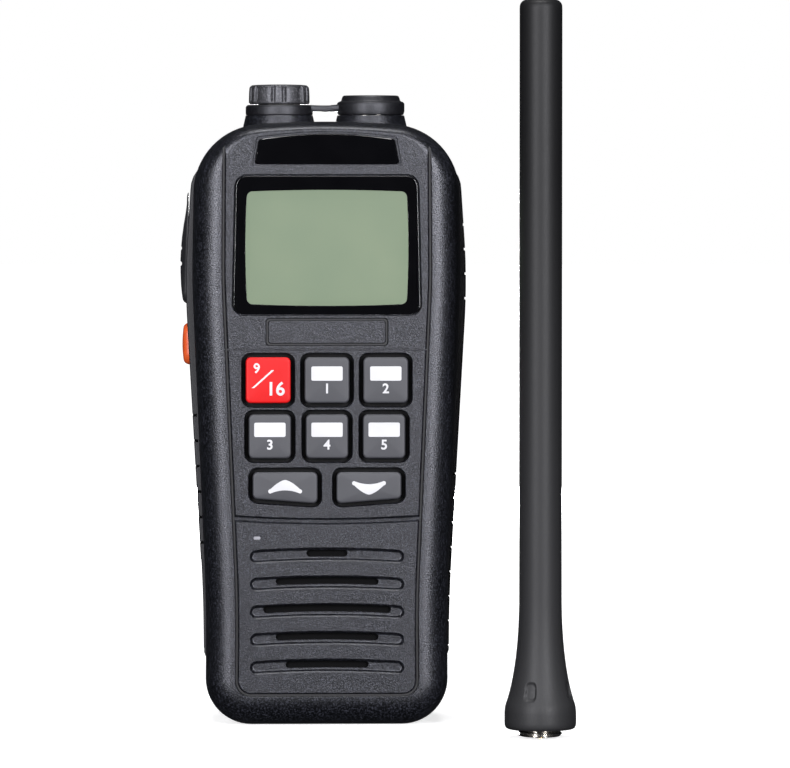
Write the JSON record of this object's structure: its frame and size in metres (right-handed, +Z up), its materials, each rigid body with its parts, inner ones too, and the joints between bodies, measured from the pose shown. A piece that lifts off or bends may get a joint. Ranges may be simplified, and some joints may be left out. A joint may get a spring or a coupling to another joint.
{
  "type": "vhf marine radio",
  "caption": "Handheld marine radio with display, keypad, arched speaker grille, belt clip and rear battery pack, its threaded whip antenna standing beside it.",
  "frame": {"origin": "middle of the flat foot that the handset stands on", "axes": "+Z up along the handset, -Y out of the face with display and keys, +X to the right seen from the face"},
  "size_m": [0.0849, 0.079, 0.1571],
  "materials": {
    "case_plastic": "fine spark-eroded texture, satin",
    "grip_rubber": "soft matt rubber",
    "key_rubber": "satin silicone",
    "red_rubber": "satin silicone",
    "orange_rubber": "satin silicone",
    "gloss_black": "polished black acrylic",
    "lcd_glass": "grey-green reflective display",
    "light_guide": "clear light guide",
    "board_green": "solder mask",
    "tinplate": "tinned steel",
    "steel": "zinc-plated steel",
    "nickel": "nickel plate",
    "brass": "turned brass",
    "gold_plate": "gold plate",
    "white_insulator": "unfilled fluoropolymer",
    "cloth": "water-shedding mesh",
    "foam": "closed-cell foam",
    "paper": "treated paper",
    "magnet": "plated pot",
    "black_plastic": "moulded plastic",
    "knob_rubber": "soft-touch rubber",
    "cell_wrap": "shrink film",
    "antenna_rubber": "satin rubber",
    "fibreglass": "drawn fibreglass",
    "spring_steel": "black-coated spring steel"
  },
  "bodies": {
    "case": {"front_shell": "case_plastic", "rear_shell": "case_plastic", "right_grip": "grip_rubber", "left_grip": "grip_rubber", "shell_seal": "foam", "side_board": "board_green", "key_domes": "tinplate", "keypad_sheet": "key_rubber", "display_window": "gloss_black", "name_plate": "gloss_black", "display_panel": "lcd_glass", "display_light": "light_guide", "main_board": "board_green", "shield_can": "tinplate", "speaker_cloth": "cloth", "speaker_foam": "foam", "speaker_basket": "steel", "speaker_cone": "paper", "speaker_magnet": "magnet", "microphone": "tinplate", "shell_screws": "steel", "volume_switch": "steel", "switch_nut": "nickel", "cap_tether": "knob_rubber", "antenna_socket": "nickel", "socket_insulator": "white_insulator", "socket_contact": "gold_plate", "lock_insert": "brass", "terminal_pins": "gold_plate", "terminal_seal": "foam", "side_switches": "black_plastic"},
    "red_key": {"red_key": "red_rubber"},
    "scan_key": {"scan_key": "key_rubber"},
    "tag_key": {"tag_key": "key_rubber"},
    "volume_key": {"volume_key": "key_rubber"},
    "lock_key": {"lock_key": "key_rubber"},
    "weather_key": {"weather_key": "key_rubber"},
    "up_key": {"up_key": "key_rubber"},
    "down_key": {"down_key": "key_rubber"},
    "talk_button": {"talk_button": "grip_rubber"},
    "alert_button": {"alert_button": "orange_rubber"},
    "knob": {"volume_knob": "knob_rubber", "knob_shaft": "steel"},
    "cap": {"socket_cap": "knob_rubber"},
    "pack": {"battery_case": "case_plastic", "battery_cover": "black_plastic", "battery_pads": "gold_plate", "battery_cells": "cell_wrap", "charge_contacts": "gold_plate", "clip_bracket": "spring_steel", "clip_screws": "steel", "clip_pin": "steel", "clip_spring": "steel"},
    "lock": {"lock_screw": "nickel"},
    "clip": {"belt_clip": "black_plastic"},
    "antenna": {"antenna_sheath": "antenna_rubber", "antenna_stud": "nickel", "antenna_insulator": "white_insulator", "antenna_pin": "gold_plate", "antenna_core": "fibreglass"}
  },
  "joints": [
    {"name": "red_key_press", "type": "slide", "parent": "case", "child": "red_key", "axis": [0, 1, 0], "range_m": [0, 0.0006], "stiffness_N_per_m": 800, "springref_m": -0.0004},
    {"name": "scan_key_press", "type": "slide", "parent": "case", "child": "scan_key", "axis": [0, 1, 0], "range_m": [0, 0.0006], "stiffness_N_per_m": 800, "springref_m": -0.0004},
    {"name": "tag_key_press", "type": "slide", "parent": "case", "child": "tag_key", "axis": [0, 1, 0], "range_m": [0, 0.0006], "stiffness_N_per_m": 800, "springref_m": -0.0004},
    {"name": "volume_key_press", "type": "slide", "parent": "case", "child": "volume_key", "axis": [0, 1, 0], "range_m": [0, 0.0006], "stiffness_N_per_m": 800, "springref_m": -0.0004},
    {"name": "lock_key_press", "type": "slide", "parent": "case", "child": "lock_key", "axis": [0, 1, 0], "range_m": [0, 0.0006], "stiffness_N_per_m": 800, "springref_m": -0.0004},
    {"name": "weather_key_press", "type": "slide", "parent": "case", "child": "weather_key", "axis": [0, 1, 0], "range_m": [0, 0.0006], "stiffness_N_per_m": 800, "springref_m": -0.0004},
    {"name": "up_key_press", "type": "slide", "parent": "case", "child": "up_key", "axis": [0, 1, 0], "range_m": [0, 0.0006], "stiffness_N_per_m": 800, "springref_m": -0.0004},
    {"name": "down_key_press", "type": "slide", "parent": "case", "child": "down_key", "axis": [0, 1, 0], "range_m": [0, 0.0006], "stiffness_N_per_m": 800, "springref_m": -0.0004},
    {"name": "talk_press", "type": "slide", "parent": "case", "child": "talk_button", "axis": [1, 0, 0], "range_m": [0, 0.001], "stiffness_N_per_m": 900, "springref_m": -0.0005},
    {"name": "alert_press", "type": "slide", "parent": "case", "child": "alert_button", "axis": [1, 0, 0], "range_m": [0, 0.0008], "stiffness_N_per_m": 800, "springref_m": -0.0004},
    {"name": "knob_turn", "type": "hinge", "parent": "case", "child": "knob", "pos_m": [-0.0102, 0.004, 0.1355], "axis": [0, 0, -1], "range_deg": [0, 290]},
    {"name": "cap_flip", "type": "hinge", "parent": "case", "child": "cap", "pos_m": [0.001, 0.004, 0.13475], "axis": [0, -1, 0], "range_deg": [0, 95]},
    {"name": "pack_slide", "type": "slide", "parent": "case", "child": "pack", "axis": [0, 1, 0], "range_m": [0, 0.03]},
    {"name": "lock_turn", "type": "hinge", "parent": "pack", "child": "lock", "pos_m": [0, 0.0175, 0.012], "axis": [0, 1, 0], "range_deg": [0, 90]},
    {"name": "clip_open", "type": "hinge", "parent": "pack", "child": "clip", "pos_m": [0, 0.0232, 0.074], "axis": [1, 0, 0], "range_deg": [0, 18], "stiffness_Nm_per_rad": 0.3, "springref_deg": -8.59},
    {"name": "antenna_lift", "type": "slide", "parent": "case", "child": "antenna", "axis": [0, 0, 1], "range_m": [0, 0.06]}
  ]
}
